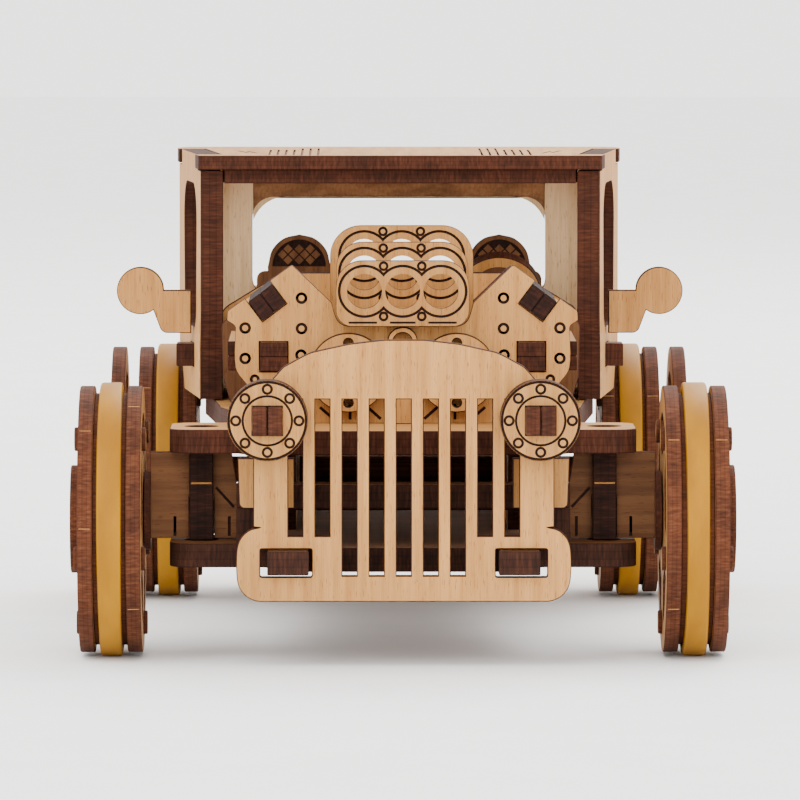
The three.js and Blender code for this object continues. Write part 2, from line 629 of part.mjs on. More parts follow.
function steeringWheel() {
  const group = new THREE.Group();
  group.position.set(STEERING_X, DASH_Y + PLY + 9.5, STEERING_Z);
  group.rotation.x = rad(COLUMN_TILT);
  car.add(group);
  const ring = disc(0, 0, RING_R);
  for (let i = 0; i < 3; i += 1) {
    const middle = Math.PI / 2 + i * Math.PI * 2 / 3;
    ring.holes.push(sector(0, 0, RING_INNER_R, 2.4, middle, 0.83, 0.62));
  }
  const wheel = facing(ring, -PLY / 2, PLY);
  const column = facing(disc(0, 0, 1.7), -COLUMN_LENGTH, COLUMN_LENGTH + 2.2);
  add('steering_wheel', union(wheel, column), wood(SHADED), group);
}

// ---------------------------------------------------------------- front axle
const KNUCKLE_BASE = BOTTOM_Z + THICK + CUT_GAP;
const KNUCKLE_TOP = TOP_Z - CUT_GAP;
const LAP_Z = 28.2;           // where the two crossed plates of a knuckle meet
const TIE_ROD_Z = 22.2;
const HUB_X = 44.4;

function knuckle(side, sign) {
  const inKnuckle = PLY / 2;
  const front = FRONT_AXLE_Y - inKnuckle;
  const postHalf = THICK / 2 + FIT;
  const plate = sideOutline(sign, [
    [29.2, KNUCKLE_BASE], [KINGPIN_X - postHalf, KNUCKLE_BASE], [KINGPIN_X - postHalf, LAP_Z + FIT],
    [KINGPIN_X + postHalf, LAP_Z + FIT], [KINGPIN_X + postHalf, KNUCKLE_BASE], [HUB_X + 0.1, KNUCKLE_BASE],
    [HUB_X + 0.1, KNUCKLE_TOP], [30.2, KNUCKLE_TOP], [28.9, 27.5],
  ]);
  const flange = sideways(disc(FRONT_AXLE_Y, WHEEL_Z + 1.5, 7), sideX(sign, HUB_X, 1.2), 1.2);
  const stub = sideways(disc(FRONT_AXLE_Y, WHEEL_Z, AXLE_R), sideX(sign, HUB_X + 0.2, 12.2), 12.2);
  add(`knuckle_${side}`, union(facing(plate, front, PLY), flange, stub), wood(PALE));

  const pinHalf = 1.7;
  const y = FRONT_AXLE_Y;
  const armEnd = y + STEER_ARM;
  const post = outline([
    [y - 4, KNUCKLE_BASE], [y - pinHalf, KNUCKLE_BASE],
    [y - pinHalf, BOTTOM_Z + 0.5], [y + pinHalf, BOTTOM_Z + 0.5],
    [y + pinHalf, KNUCKLE_BASE], [armEnd + 3.4, KNUCKLE_BASE, 0.5], [armEnd + 3.4, TIE_ROD_Z + 2.3],
    [armEnd + 1.6, TIE_ROD_Z + 2.3], [armEnd + 1.6, TIE_ROD_Z + 7.4], [armEnd - 1.6, TIE_ROD_Z + 7.4],
    [armEnd - 1.6, TIE_ROD_Z + 2.3], [y + 5, TIE_ROD_Z + 2.3, 1],
    [y + 4, KNUCKLE_TOP, 0.5], [y + pinHalf, KNUCKLE_TOP],
    [y + pinHalf, TOP_Z + THICK - 0.5], [y - pinHalf, TOP_Z + THICK - 0.5],
    [y - pinHalf, KNUCKLE_TOP], [y - 4, KNUCKLE_TOP],
  ]);
  const solid = sideways(post, sideX(sign, KINGPIN_X - THICK / 2, THICK), THICK);
  const lapOutline = sideBox(sign, KINGPIN_X - THICK, front - FIT, KINGPIN_X + THICK, front + PLY + FIT);
  const lap = level(lapOutline, LAP_Z, TOP_Z - LAP_Z + 0.1);
  add(`kingpin_post_${side}`, difference(solid, lap), wood(BURNT));
}

function tieRod() {
  const y = FRONT_AXLE_Y + STEER_ARM;
  const rod = symmetric([
    [KINGPIN_X - 6, y - 2, 3], [KINGPIN_X - 1, y - 4.4, 2], [KINGPIN_X + 4.4, y - 4.4, 4.3],
    [KINGPIN_X + 4.4, y + 4.4, 4.3], [KINGPIN_X - 1, y + 4.4, 2], [KINGPIN_X - 6, y + 2, 3],
  ]);
  const holes = SIDES.map(([, sign]) => disc(sign * KINGPIN_X, y, 2.85));
  add('tie_rod', level(pierced(rod, ...holes), TIE_ROD_Z + 2.3 + CUT_GAP, PLY), wood(PALE));
}

// ---------------------------------------------------------------- wheels
const SPOKES = 5;

// A wheel disc with rounded windows between its spokes.
function wheelDisc(y, boreRadius) {
  const shape = disc(y, WHEEL_Z, DISC_R);
  for (let i = 0; i < SPOKES; i += 1) {
    const middle = Math.PI / 2 + i * 2 * Math.PI / SPOKES;
    shape.holes.push(sector(y, WHEEL_Z, 18.6, 11.6, middle, 0.42, 0.3));
  }
  shape.holes.push(disc(y, WHEEL_Z, boreRadius));
  return shape;
}

function ring(y, outer, inner) {
  return pierced(disc(y, WHEEL_Z, outer), disc(y, WHEEL_Z, inner));
}

// inner is the X of the wheel's face nearer the car; bore is the radius of its hole.
function wheel(name, sign, y, inner, bore) {
  const part = (shape, x, thickness) => sideways(shape, sideX(sign, x, thickness), thickness);
  const core = inner + PLY;
  const outer = core + GROOVE;
  const innerDisc = part(wheelDisc(y, bore), inner, PLY + 0.01);
  const rim = part(ring(y, RIM_R, 19.4), core, GROOVE);
  const boss = part(ring(y, 8, bore), core, GROOVE);
  add(`${name}_inner`, union(innerDisc, rim, boss), wood(SHADED));
  const tyreShape = ring(y, TYRE_R, RIM_R + 0.05);
  add(`${name}_tyre`, part(tyreShape, core + (GROOVE - TYRE_WIDTH) / 2, TYRE_WIDTH), rubber());
  return { part, outer };
}

function frontWheels() {
  for (const [side, sign] of SIDES) {
    const name = `front_wheel_${side}`;
    const { part, outer } = wheel(name, sign, FRONT_AXLE_Y, FRONT_WHEEL_X, BORE_R);
    const face = part(wheelDisc(FRONT_AXLE_Y, BORE_R), outer, PLY + 0.01);
    const cap = part(disc(FRONT_AXLE_Y, WHEEL_Z, HUBCAP_R), outer + PLY, HUBCAP_T);
    add(`${name}_outer`, union(face, cap), wood(SHADED));
  }
}

function rearWheels() {
  const reach = REAR_WHEEL_X + 3 * PLY + GROOVE + 1.9;
  const axle = sideways(disc(REAR_AXLE_Y, WHEEL_Z, AXLE_R), -reach, 2 * reach);
  add('rear_axle', axle, wood(SHADED));
  for (const [side, sign] of SIDES) {
    const name = `rear_wheel_${side}`;
    const bore = AXLE_R + 0.05;
    const { part, outer } = wheel(name, sign, REAR_AXLE_Y, REAR_WHEEL_X, bore);
    const face = part(wheelDisc(REAR_AXLE_Y, bore), outer, PLY + 0.01);
    const spacer = part(ring(REAR_AXLE_Y, 10, bore), outer + PLY, PLY);
    const trim = part(wheelDisc(REAR_AXLE_Y, bore), outer + 2 * PLY - 0.01, PLY + 0.01);
    add(`${name}_outer`, union(face, spacer, trim), wood(SHADED));
  }
}

chassis();
grille();
engine();
pulleys();
cabSides();
cabShell();
boot();
seats();
mirrors();
steeringWheel();
for (const [side, sign] of SIDES) knuckle(side, sign);
tieRod();
frontWheels();
rearWheels();

export default car;
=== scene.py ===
import json
import math
import bmesh
import bpy
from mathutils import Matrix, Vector
from mathutils.geometry import tessellate_polygon


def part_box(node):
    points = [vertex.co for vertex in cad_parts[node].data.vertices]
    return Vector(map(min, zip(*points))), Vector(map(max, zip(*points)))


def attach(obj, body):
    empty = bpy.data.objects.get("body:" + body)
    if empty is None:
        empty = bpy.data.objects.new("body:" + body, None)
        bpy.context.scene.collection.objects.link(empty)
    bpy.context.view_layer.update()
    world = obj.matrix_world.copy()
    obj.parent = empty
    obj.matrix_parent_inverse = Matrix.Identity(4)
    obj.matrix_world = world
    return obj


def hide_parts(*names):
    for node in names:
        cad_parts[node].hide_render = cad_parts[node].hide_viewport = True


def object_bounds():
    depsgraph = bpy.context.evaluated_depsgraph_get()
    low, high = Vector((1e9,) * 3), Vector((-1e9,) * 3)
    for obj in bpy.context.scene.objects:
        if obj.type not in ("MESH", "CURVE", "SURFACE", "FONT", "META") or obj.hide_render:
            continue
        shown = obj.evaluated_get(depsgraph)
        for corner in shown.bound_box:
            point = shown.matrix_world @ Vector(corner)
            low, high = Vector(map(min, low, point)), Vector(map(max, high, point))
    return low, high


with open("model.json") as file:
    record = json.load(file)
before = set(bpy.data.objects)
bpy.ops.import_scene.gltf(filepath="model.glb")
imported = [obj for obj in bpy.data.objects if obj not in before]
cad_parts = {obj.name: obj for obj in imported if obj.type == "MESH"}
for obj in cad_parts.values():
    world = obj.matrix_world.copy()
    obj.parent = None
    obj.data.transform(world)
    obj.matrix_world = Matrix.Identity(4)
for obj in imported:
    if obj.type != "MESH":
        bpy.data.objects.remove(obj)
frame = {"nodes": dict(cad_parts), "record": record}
cad_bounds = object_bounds()

MM = 0.001
BEVEL = 0.16                 # mm, the charred arris of a laser-cut plate
GROOVE_DEPTH = 0.3           # mm
SKIN_BEVEL = 0.06            # mm, the arris beside a groove
LINE = 0.42                  # mm, width of an engraved line
SMOOTH_TURN = math.radians(47)
X_AXIS = Vector((1, 0, 0))
Y_AXIS = Vector((0, 1, 0))
Z_AXIS = Vector((0, 0, 1))
SIDES = (("left", 1), ("right", -1))


# ---------------------------------------------------------------- materials
def material(name, roughness):
    """A new node material: returns it, its node tree and its shader."""
    made = bpy.data.materials.new(name)
    made.use_nodes = True
    tree = made.node_tree
    shader = tree.nodes["Principled BSDF"]
    shader.inputs["Roughness"].default_value = roughness
    shader.inputs["Specular IOR Level"].default_value = 0.15
    return made, tree, shader


def streaks(tree, scale_u, scale_v, detail, roughness=0.55):
    """Noise stretched over the piece's own flat coordinates, which are in millimetres."""
    coordinates = tree.nodes.new("ShaderNodeTexCoord")
    mapping = tree.nodes.new("ShaderNodeMapping")
    mapping.inputs["Scale"].default_value = (scale_u, scale_v, 1)
    noise = tree.nodes.new("ShaderNodeTexNoise")
    noise.noise_dimensions = "2D"
    noise.inputs["Scale"].default_value = 1
    noise.inputs["Detail"].default_value = detail
    noise.inputs["Roughness"].default_value = roughness
    tree.links.new(coordinates.outputs["UV"], mapping.inputs["Vector"])
    tree.links.new(mapping.outputs["Vector"], noise.inputs["Vector"])
    return noise.outputs["Fac"]


def ramp(tree, source, stops):
    """A colour ramp: stops are (position, colour)."""
    node = tree.nodes.new("ShaderNodeValToRGB")
    elements = node.color_ramp.elements
    while len(elements) < len(stops):
        elements.new(0.5)
    for element, (position, colour) in zip(elements, stops):
        element.position = position
        element.color = (*colour, 1)
    tree.links.new(source, node.inputs["Fac"])
    return node.outputs["Color"]


def blended(tree, kind, amount, first, second):
    """Two colours mixed; amount is a number or a socket."""
    node = tree.nodes.new("ShaderNodeMix")
    node.data_type = "RGBA"
    node.blend_type = kind
    factor = node.inputs["Factor"]
    if isinstance(amount, float):
        factor.default_value = amount
    else:
        tree.links.new(amount, factor)
    colours = [socket for socket in node.inputs if socket.type == "RGBA"]
    tree.links.new(first, colours[0])
    tree.links.new(second, colours[1])
    return next(socket for socket in node.outputs if socket.type == "RGBA")


def bumped(tree, shader, height, strength, distance):
    """Small relief from a height socket."""
    node = tree.nodes.new("ShaderNodeBump")
    node.inputs["Strength"].default_value = strength
    node.inputs["Distance"].default_value = distance
    tree.links.new(height, node.inputs["Height"])
    tree.links.new(node.outputs["Normal"], shader.inputs["Normal"])


def grey(value):
    return (value, value, value)


def wood_face(name, pale, deep):
    """The sanded face of birch plywood: long grain, fine streaks, small dark flecks."""
    made, tree, shader = material(name, 0.62)
    grain = ramp(tree, streaks(tree, 0.55, 0.03, 5), [(0.32, deep), (0.62, pale)])
    fine = streaks(tree, 5.5, 0.12, 4)
    fine_tone = ramp(tree, fine, [(0.3, grey(0.8)), (0.62, grey(1))])
    flecks = ramp(tree, streaks(tree, 4.2, 0.45, 2, 0.4), [(0.24, (0.5, 0.36, 0.25)), (0.34, grey(1))])
    tone = ramp(tree, streaks(tree, 0.011, 0.011, 0), [(0.3, grey(0.86)), (0.7, grey(1))])
    colour = blended(tree, "MULTIPLY", 0.75, grain, fine_tone)
    colour = blended(tree, "MULTIPLY", 0.7, colour, flecks)
    colour = blended(tree, "MULTIPLY", 1.0, colour, tone)
    tree.links.new(colour, shader.inputs["Base Color"])
    bumped(tree, shader, fine, 0.25, 0.00012)
    return made


def wood_edge(name, brown, dark, light):
    """A laser-cut edge: charred, with the cut's fine ripples and the plies' glue lines."""
    made, tree, shader = material(name, 0.78)
    ripples = streaks(tree, 2.2, 1.2, 4)
    blotches = streaks(tree, 0.16, 0.5, 3)
    char = ramp(tree, ripples, [(0.3, dark), (0.5, brown), (0.72, light)])
    burn = ramp(tree, blotches, [(0.3, grey(0.5)), (0.65, grey(1))])
    coordinates = tree.nodes.new("ShaderNodeTexCoord")
    split = tree.nodes.new("ShaderNodeSeparateXYZ")
    tree.links.new(coordinates.outputs["UV"], split.inputs["Vector"])
    plies = ramp(tree, split.outputs["Y"], [
        (0.0, grey(0.7)), (0.1, grey(1)), (0.3, grey(1)), (0.34, grey(0.62)), (0.4, (0.9, 0.86, 0.8)),
        (0.6, (0.9, 0.86, 0.8)), (0.66, grey(0.62)), (0.7, grey(1)), (0.9, grey(1)), (1.0, grey(0.7)),
    ])
    colour = blended(tree, "MULTIPLY", 0.8, char, burn)
    colour = blended(tree, "MULTIPLY", 1.0, colour, plies)
    tree.links.new(colour, shader.inputs["Base Color"])
    bumped(tree, shader, ripples, 0.3, 0.00015)
    return made


def rubber_band(name):
    """Natural rubber, slightly waxy, with faint mottling."""
    made, tree, shader = material(name, 0.5)
    mottle = streaks(tree, 0.05, 0.35, 4)
    colour = ramp(tree, mottle, [(0.3, (0.25, 0.1, 0.0)), (0.7, (0.34, 0.15, 0.0005))])
    tree.links.new(colour, shader.inputs["Base Color"])
    shader.inputs["Subsurface Weight"].default_value = 0.05
    shader.inputs["Subsurface Radius"].default_value = (0.002, 0.001, 0.0004)
    bumped(tree, shader, streaks(tree, 2.5, 2.5, 3), 0.2, 0.0001)
    return made


FACE = wood_face("birch_face", (0.5, 0.248, 0.075), (0.4, 0.18, 0.048))
# painted light: a brighter copy of the birch face for the rear panel's lit inner face
LIT_FACE = wood_face("painted_light_face", (0.9, 0.62, 0.34), (0.75, 0.48, 0.23))
# painted shade: a dark copy of the birch face for pieces that sit in shadow
SHADE_FACE = wood_face("painted_shade_face", (0.16, 0.066, 0.023), (0.1, 0.038, 0.013))
RIM = wood_edge("wheel_edge", (0.09, 0.025, 0.009), (0.055, 0.015, 0.006), (0.13, 0.044, 0.018))
EDGE = wood_edge("burnt_edge", (0.055, 0.0145, 0.0055), (0.033, 0.009, 0.0035), (0.082, 0.025, 0.011))
# the floor of the roof's engraved lines, and the painted shadow that the roof casts on the rear panel
GROOVE_AND_SHADOW_FIELD = wood_edge("groove_burn_and_painted_shadow", (0.42, 0.2, 0.085), (0.36, 0.165, 0.068), (0.48, 0.235, 0.105))
# painted shade: a darker edge for pieces in the deep shadow behind the grille
DEEP_SHADE_EDGE = wood_edge("painted_deep_shade_edge", (0.032, 0.0095, 0.0042), (0.018, 0.006, 0.003), (0.05, 0.016, 0.007))
CHAR = wood_edge("charred_edge", (0.022, 0.006, 0.003), (0.012, 0.004, 0.002), (0.04, 0.012, 0.006))
GROOVE = wood_edge("burnt_groove", (0.026, 0.008, 0.004), (0.014, 0.005, 0.003), (0.045, 0.015, 0.007))
RUBBER = rubber_band("rubber_band")
WOOD = (FACE, EDGE, GROOVE)
WHEEL_WOOD = (FACE, RIM, GROOVE)
# these sets darken their faces with painted shade; they differ in how dark their edges are
SHADED_WOOD = (SHADE_FACE, EDGE, GROOVE)
DEEP_SHADE_WOOD = (SHADE_FACE, DEEP_SHADE_EDGE, GROOVE)
CHARRED_SHADED_WOOD = (SHADE_FACE, CHAR, GROOVE)


# ---------------------------------------------------------------- flat outlines, in millimetres
def circle(u, v, radius, sides=0):
    sides = sides or max(28, min(120, int(radius * 9)))
    step = math.tau / sides
    angles = [i * step for i in range(sides)]
    return [Vector((u + radius * math.cos(angle), v + radius * math.sin(angle))) for angle in angles]


def rectangle(u0, v0, u1, v1):
    return [Vector(point) for point in ((u0, v0), (u1, v0), (u1, v1), (u0, v1))]


def stroke(u0, v0, u1, v1, width=LINE):
    """A straight line with its width."""
    start = Vector((u0, v0))
    along = Vector((u1, v1)) - start
    side = Vector((-along.y, along.x)).normalized() * width / 2
    return [start - side, start + along - side, start + along + side, start + side]


def arc(u, v, radius, start, end, steps):
    """Points along an arc; the angles are in degrees."""
    points = []
    for i in range(steps + 1):
        angle = math.radians(start + (end - start) * i / steps)
        points.append(Vector((u + radius * math.cos(angle), v + radius * math.sin(angle))))
    return points


def area(loop):
    return sum(a.cross(b) for a, b in zip(loop, loop[1:] + loop[:1])) / 2


def turned(loop, sign):
    """The loop, running counter-clockwise for +1 and clockwise for -1."""
    return loop if area(loop) * sign > 0 else loop[::-1]


def inside(point, loop):
    """Whether a point lies in a loop."""
    found = False
    for a, b in zip(loop, loop[1:] + loop[:1]):
        if (a.y > point.y) != (b.y > point.y):
            if point.x < a.x + (b.x - a.x) * (point.y - a.y) / (b.y - a.y):
                found = not found
    return found


def inset(loop, distance):
    """The loop moved to its left, which is where the wood is."""
    moved = []
    count = len(loop)
    for i, here in enumerate(loop):
        before = (here - loop[i - 1]).normalized()
        after = (loop[(i + 1) % count] - here).normalized()
        first = Vector((-before.y, before.x))
        second = Vector((-after.y, after.x))
        mitre = (first + second) / max(0.35, 1 + first.dot(second))
        moved.append(here + mitre * distance)
    return moved


def tidy(loop):
    """Drops doubled points, and those that lie on a straight line between their neighbours."""
    loop = [point for i, point in enumerate(loop) if (point - loop[i - 1]).length > 0.03]
    kept = []
    count = len(loop)
    for i, here in enumerate(loop):
        before = here - loop[i - 1]
        after = loop[(i + 1) % count] - here
        if abs(before.normalized().cross(after.normalized())) < 0.004:
            if before.dot(after) > 0:
                continue
        kept.append(here)
    return kept


def faired(loop):
    """Turns the frame's coarse facets back into smooth curves, and leaves real corners alone."""
    count = len(loop)
    centre = sum(loop, Vector((0, 0))) / count
    radii = [(point - centre).length for point in loop]
    if count >= 8 and max(radii) - min(radii) < 0.004 * max(radii):
        fine = circle(centre.x, centre.y, max(radii))
        return turned(fine, 1 if area(loop) > 0 else -1)
    edges = [loop[(i + 1) % count] - loop[i] for i in range(count)]
    tangents = []
    for i in range(count):
        before, after = edges[i - 1], edges[i]
        if before.angle(after) > SMOOTH_TURN:
            tangents.append(None)
        elif before.length > 2.6 * after.length:
            tangents.append(before.normalized())
        elif after.length > 2.6 * before.length:
            tangents.append(after.normalized())
        else:
            tangents.append((before + after).normalized())
    fine = []
    for i in range(count):
        start, end = loop[i], loop[(i + 1) % count]
        direction = edges[i].normalized()
        leave = tangents[i] or direction
        arrive = tangents[(i + 1) % count] or direction
        fine.append(start)
        if leave.dot(direction) > 0.9999 and arrive.dot(direction) > 0.9999:
            continue
        reach = edges[i].length / 3
        first, second = start + leave * reach, end - arrive * reach
        for step in range(1, 5):
            t = step / 5
            rest = 1 - t
            fine.append(
                start * rest ** 3 + first * 3 * rest ** 2 * t + second * 3 * rest * t ** 2 + end * t ** 3
            )
    return fine


# ---------------------------------------------------------------- plates
class Plate:
    """A CAD node seen as one or more flat slabs that lie across one direction, w."""

    def __init__(self, node, across=None):
        self.node = node
        source = frame["nodes"][node]
        mesh = source.data
        mesh.calc_loop_triangles()
        world = source.matrix_world
        points = [world @ vertex.co / MM for vertex in mesh.vertices]
        self.triangles = [tuple(points[i] for i in triangle.vertices) for triangle in mesh.loop_triangles]
        self.w = across.normalized() if across else self.widest()
        up = Y_AXIS if abs(self.w.z) > 0.99 else Z_AXIS
        self.u = up.cross(self.w).normalized()
        if max(self.u, key=abs) < 0:
            self.u = -self.u
        self.v = self.w.cross(self.u)
        if self.v.dot(up) < 0:
            self.v = -self.v
        self.turn = 1 if self.u.cross(self.v).dot(self.w) > 0 else -1
        heights = sorted(point.dot(self.w) for point in points)
        self.levels = [heights[0]]
        for height in heights:
            if height - self.levels[-1] > 0.08:
                self.levels.append(height)

    def widest(self):
        """The direction that the largest flat area faces, pointing up, back or left."""
        totals = {}
        for a, b, c in self.triangles:
            normal = (b - a).cross(c - a)
            size = normal.length
            if size == 0:
                continue
            normal = normal / size
            if max(normal, key=abs) < 0:
                normal = -normal
            key = tuple(round(value, 2) for value in normal)
            total, _ = totals.get(key, (0, normal))
            totals[key] = (total + size, normal)
        return max(totals.values(), key=lambda entry: entry[0])[1]

    def section(self, height):
        """The outlines of the node's cut at that height along w; holes run clockwise."""
        links = {}
        for triangle in self.triangles:
            offsets = [point.dot(self.w) - height for point in triangle]
            cuts = []
            for i in range(3):
                a, b = offsets[i], offsets[(i + 1) % 3]
                if (a < 0) != (b < 0):
                    start, end = triangle[i], triangle[(i + 1) % 3]
                    cut = start.lerp(end, a / (a - b))
                    edge = tuple(sorted((tuple(start), tuple(end))))
                    cuts.append((Vector((cut.dot(self.u), cut.dot(self.v))), edge))
            if len(cuts) != 2:
                continue
            normal = (triangle[1] - triangle[0]).cross(triangle[2] - triangle[0])
            out = Vector((normal.dot(self.u), normal.dot(self.v)))
            start, end = cuts
            along = end[0] - start[0]
            if along.dot(Vector((-out.y, out.x))) < 0:
                start, end = end, start
            links[start[1]] = (start[0], end[1])
        loops = []
        while links:
            key = next(iter(links))
            loop = []
            while key in links:
                point, following = links.pop(key)
                loop.append(point)
                key = following
            loop = tidy(loop)
            if len(loop) > 2:
                loops.append(loop)
        return loops


def place(plate, point, height):
    """A flat point at a height along w, back in the row frame, in metres."""
    return (plate.u * point.x + plate.v * point.y + plate.w * height) * MM


def add_slab(bm, plate, outer, holes, low, high, bevels, finishes, grain, seed, rim=1):
    """One slab with charred arrises.

    bevels are for the low and high rims, finishes for the two faces, and rim is the edge's finish.
    """
    layer = bm.loops.layers.uv.verify()
    loops = [turned(outer, 1)] + [turned(hole, -1) for hole in holes]
    caps = {}
    for end, height, bevel in ((0, low, bevels[0]), (1, high, bevels[1])):
        flat = [inset(loop, bevel) for loop in loops] if bevel else loops
        rows = [[bm.verts.new(place(plate, point, height)) for point in loop] for loop in flat]
        caps[end] = rows
        joined = [point for loop in flat for point in loop]
        corners = [vertex for row in rows for vertex in row]
        for triple in tessellate_polygon([[point.to_3d() for point in loop] for loop in flat]):
            if len(set(triple)) < 3:
                continue
            try:
                face = bm.faces.new([corners[i] for i in triple])
            except ValueError:
                continue
            face.material_index = finishes[end]
            where = {corners[i]: joined[i] for i in triple}
            for corner in face.loops:
                point = where[corner.vert]
                u, v = (point.x, point.y) if grain == "v" else (point.y, point.x)
                corner[layer].uv = (u + seed, v + seed * 1.7)
    for index, loop in enumerate(loops):
        rings = [(caps[0][index], 0.0)]
        arrises = ((low + bevels[0], bevels[0], 0.06), (high - bevels[1], bevels[1], 0.94))
        for height, bevel, level in arrises:
            if bevel:
                rings.append(([bm.verts.new(place(plate, point, height)) for point in loop], level))
        rings.append((caps[1][index], 1.0))
        count = len(loop)
        lengths = [0.0]
        for i in range(count):
            lengths.append(lengths[-1] + (loop[(i + 1) % count] - loop[i]).length)
        for (first, level), (second, following) in zip(rings, rings[1:]):
            for i in range(count):
                after = (i + 1) % count
                face = bm.faces.new((first[i], first[after], second[after], second[i]))
                face.material_index = rim
                near, far = (level, following) if rim else (low + level, low + (high - low) * following)
                here, there = lengths[i], lengths[i + 1]
                values = ((here, near), (there, near), (there, far), (here, far))
                for corner, (along, across) in zip(face.loops, values):
                    corner[layer].uv = (along + seed, across)


def groups(loops):
    """Outer loops, each with its own holes."""
    outers = [loop for loop in loops if area(loop) > 0]
    found = []
    for outer in outers:
        holes = [loop for loop in loops if area(loop) < 0 and inside(loop[0], outer)]
        found.append((outer, holes))
    return found


def engraved_slab(bm, plate, outer, holes, low, high, grooves, side, grain, seed):
    """A slab with grooves cut in its low or high face.

    A groove is a loop, or a tuple: the loop, then the islands of uncut wood inside it.
    """
    cuts = [groove[0] if isinstance(groove, tuple) else groove for groove in grooves]
    islands = [island for groove in grooves if isinstance(groove, tuple) for island in groove[1:]]
    if side == "low":
        split = low + GROOVE_DEPTH
        base, skin = (split, high), (low, split)
        base_bevels, skin_bevels = (0, BEVEL), (SKIN_BEVEL, 0)
        base_finish, skin_finish = (2, 0), (0, 2)
    else:
        split = high - GROOVE_DEPTH
        base, skin = (low, split), (split, high)
        base_bevels, skin_bevels = (BEVEL, 0), (0, SKIN_BEVEL)
        base_finish, skin_finish = (0, 2), (2, 0)
    add_slab(bm, plate, outer, holes, *base, base_bevels, base_finish, grain, seed)
    voids = {index: [] for index in range(len(islands) + 1)}
    solids = [outer] + islands
    for void in holes + cuts:
        around = []
        for index, solid in enumerate(solids):
            if all(inside(point, solid) for point in void):
                around.append(index)
        if around:
            voids[min(around, key=lambda index: abs(area(solids[index])))].append(void)
    for index, solid in enumerate(solids):
        bevels = skin_bevels if index == 0 else (0, 0)
        add_slab(bm, plate, solid, voids[index], *skin, bevels, skin_finish, grain, seed)


def finish_piece(bm, name, body, nodes, materials=WOOD):
    """Makes the object, puts it on its body and lets it stand for its CAD nodes."""
    bmesh.ops.remove_doubles(bm, verts=bm.verts, dist=1e-7)
    bmesh.ops.recalc_face_normals(bm, faces=bm.faces)
    mesh = bpy.data.meshes.new(name)
    bm.to_mesh(mesh)
    bm.free()
    mesh.polygons.foreach_set("use_smooth", [True] * len(mesh.polygons))
    mesh.set_sharp_from_angle(angle=math.radians(28))
    for finish in materials:
        mesh.materials.append(finish)
    piece = bpy.data.objects.new(name, mesh)
    bpy.context.scene.collection.objects.link(piece)
    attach(piece, body)
    if nodes:
        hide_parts(*nodes)
    return piece


BODY_OF = {node: body for body, nodes in frame["record"]["behaviour"]["bodies"].items() for node in nodes}
seeds = iter(range(37, 100000, 211))


def recut(node, slot="thin_ply", grain="v", grooves=None, side="low", across=None, materials=WOOD):
    """The node's own outline, cut finely, with charred edges and engraved lines."""
    plate = Plate(node, across)
    bm = bmesh.new()
    seed = next(seeds)
    spans = list(zip(plate.levels, plate.levels[1:]))
    for index, (low, high) in enumerate(spans):
        for outer, holes in groups(plate.section((low + high) / 2)):
            outer = faired(outer)
            holes = [faired(hole) for hole in holes]
            if grooves and index == 0:
                engraved_slab(bm, plate, outer, holes, low, high, grooves, side, grain, seed)
            else:
                add_slab(bm, plate, outer, holes, low, high, (BEVEL, BEVEL), (0, 0), grain, seed)
    return finish_piece(bm, f"{node}_cut", BODY_OF[node], [node], materials)


class Axes:
    """Three directions for a piece that is drawn from listed points: u and v are flat, w goes through it.
    """

    def __init__(self, u, v, w):
        self.u = u
        self.v = v
        self.w = w


FACING = Axes(X_AXIS, Z_AXIS, Y_AXIS)
LEVEL = Axes(X_AXIS, Y_AXIS, Z_AXIS)
SIDEWAYS = Axes(Y_AXIS, Z_AXIS, X_AXIS)


def span(node):
    """The lowest and highest corner of a node, in millimetres."""
    low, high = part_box(node)
    return low / MM, high / MM


def ring(u, v, radius, width=LINE):
    """An engraved circle: the outer and the inner edge of its line."""
    return circle(u, v, radius + width / 2), circle(u, v, radius - width / 2)


def signed(sign, loop):
    return [Vector((sign * point.x, point.y)) for point in loop]


# ---------------------------------------------------------------- chassis, grille and headlights
LAMP_RING_R = 6.66
LAMP_INNER_R = 4.26
LAMP_STUDS = 8
LAMP_STUD_R = 0.75
LAMP_LINE = 0.4
SPECIAL = set()


def cut_special(node, **options):
    SPECIAL.add(node)
    return recut(node, **options)


def headlights():
    for side, _ in SIDES:
        node = f"headlight_{side}"
        low, high = span(node)
        x, z = (low.x + high.x) / 2, (low.z + high.z) / 2
        grooves = [ring(x, z, LAMP_RING_R, LAMP_LINE), ring(x, z, LAMP_INNER_R, LAMP_LINE)]
        for i in range(LAMP_STUDS):
            angle = math.tau * i / LAMP_STUDS
            reach = (LAMP_RING_R + LAMP_INNER_R) / 2
            stud_x, stud_z = x + reach * math.cos(angle), z + reach * math.sin(angle)
            grooves.append(ring(stud_x, stud_z, LAMP_STUD_R, 0.45))
        cut_special(node, grooves=grooves, slot="thick_ply")


LOUVRE_PITCH = 1.5
WINDOW_HALF = 27.8
WINDOW_TOP = 76.8
WINDOW_CORNER = 6.5


def roof_shadow_band():
    """The painted shadow of the roof: a brown field between the rear window and the roof."""
    x, z = WINDOW_HALF - WINDOW_CORNER, WINDOW_TOP - WINDOW_CORNER
    top = arc(x, z, WINDOW_CORNER + 0.2, 20, 90, 8) + arc(-x, z, WINDOW_CORNER + 0.2, 90, 160, 8)
    _, high = span("rear_panel")
    return top + [Vector((top[-1].x, high.z - 3.2)), Vector((top[0].x, high.z - 3.2))]


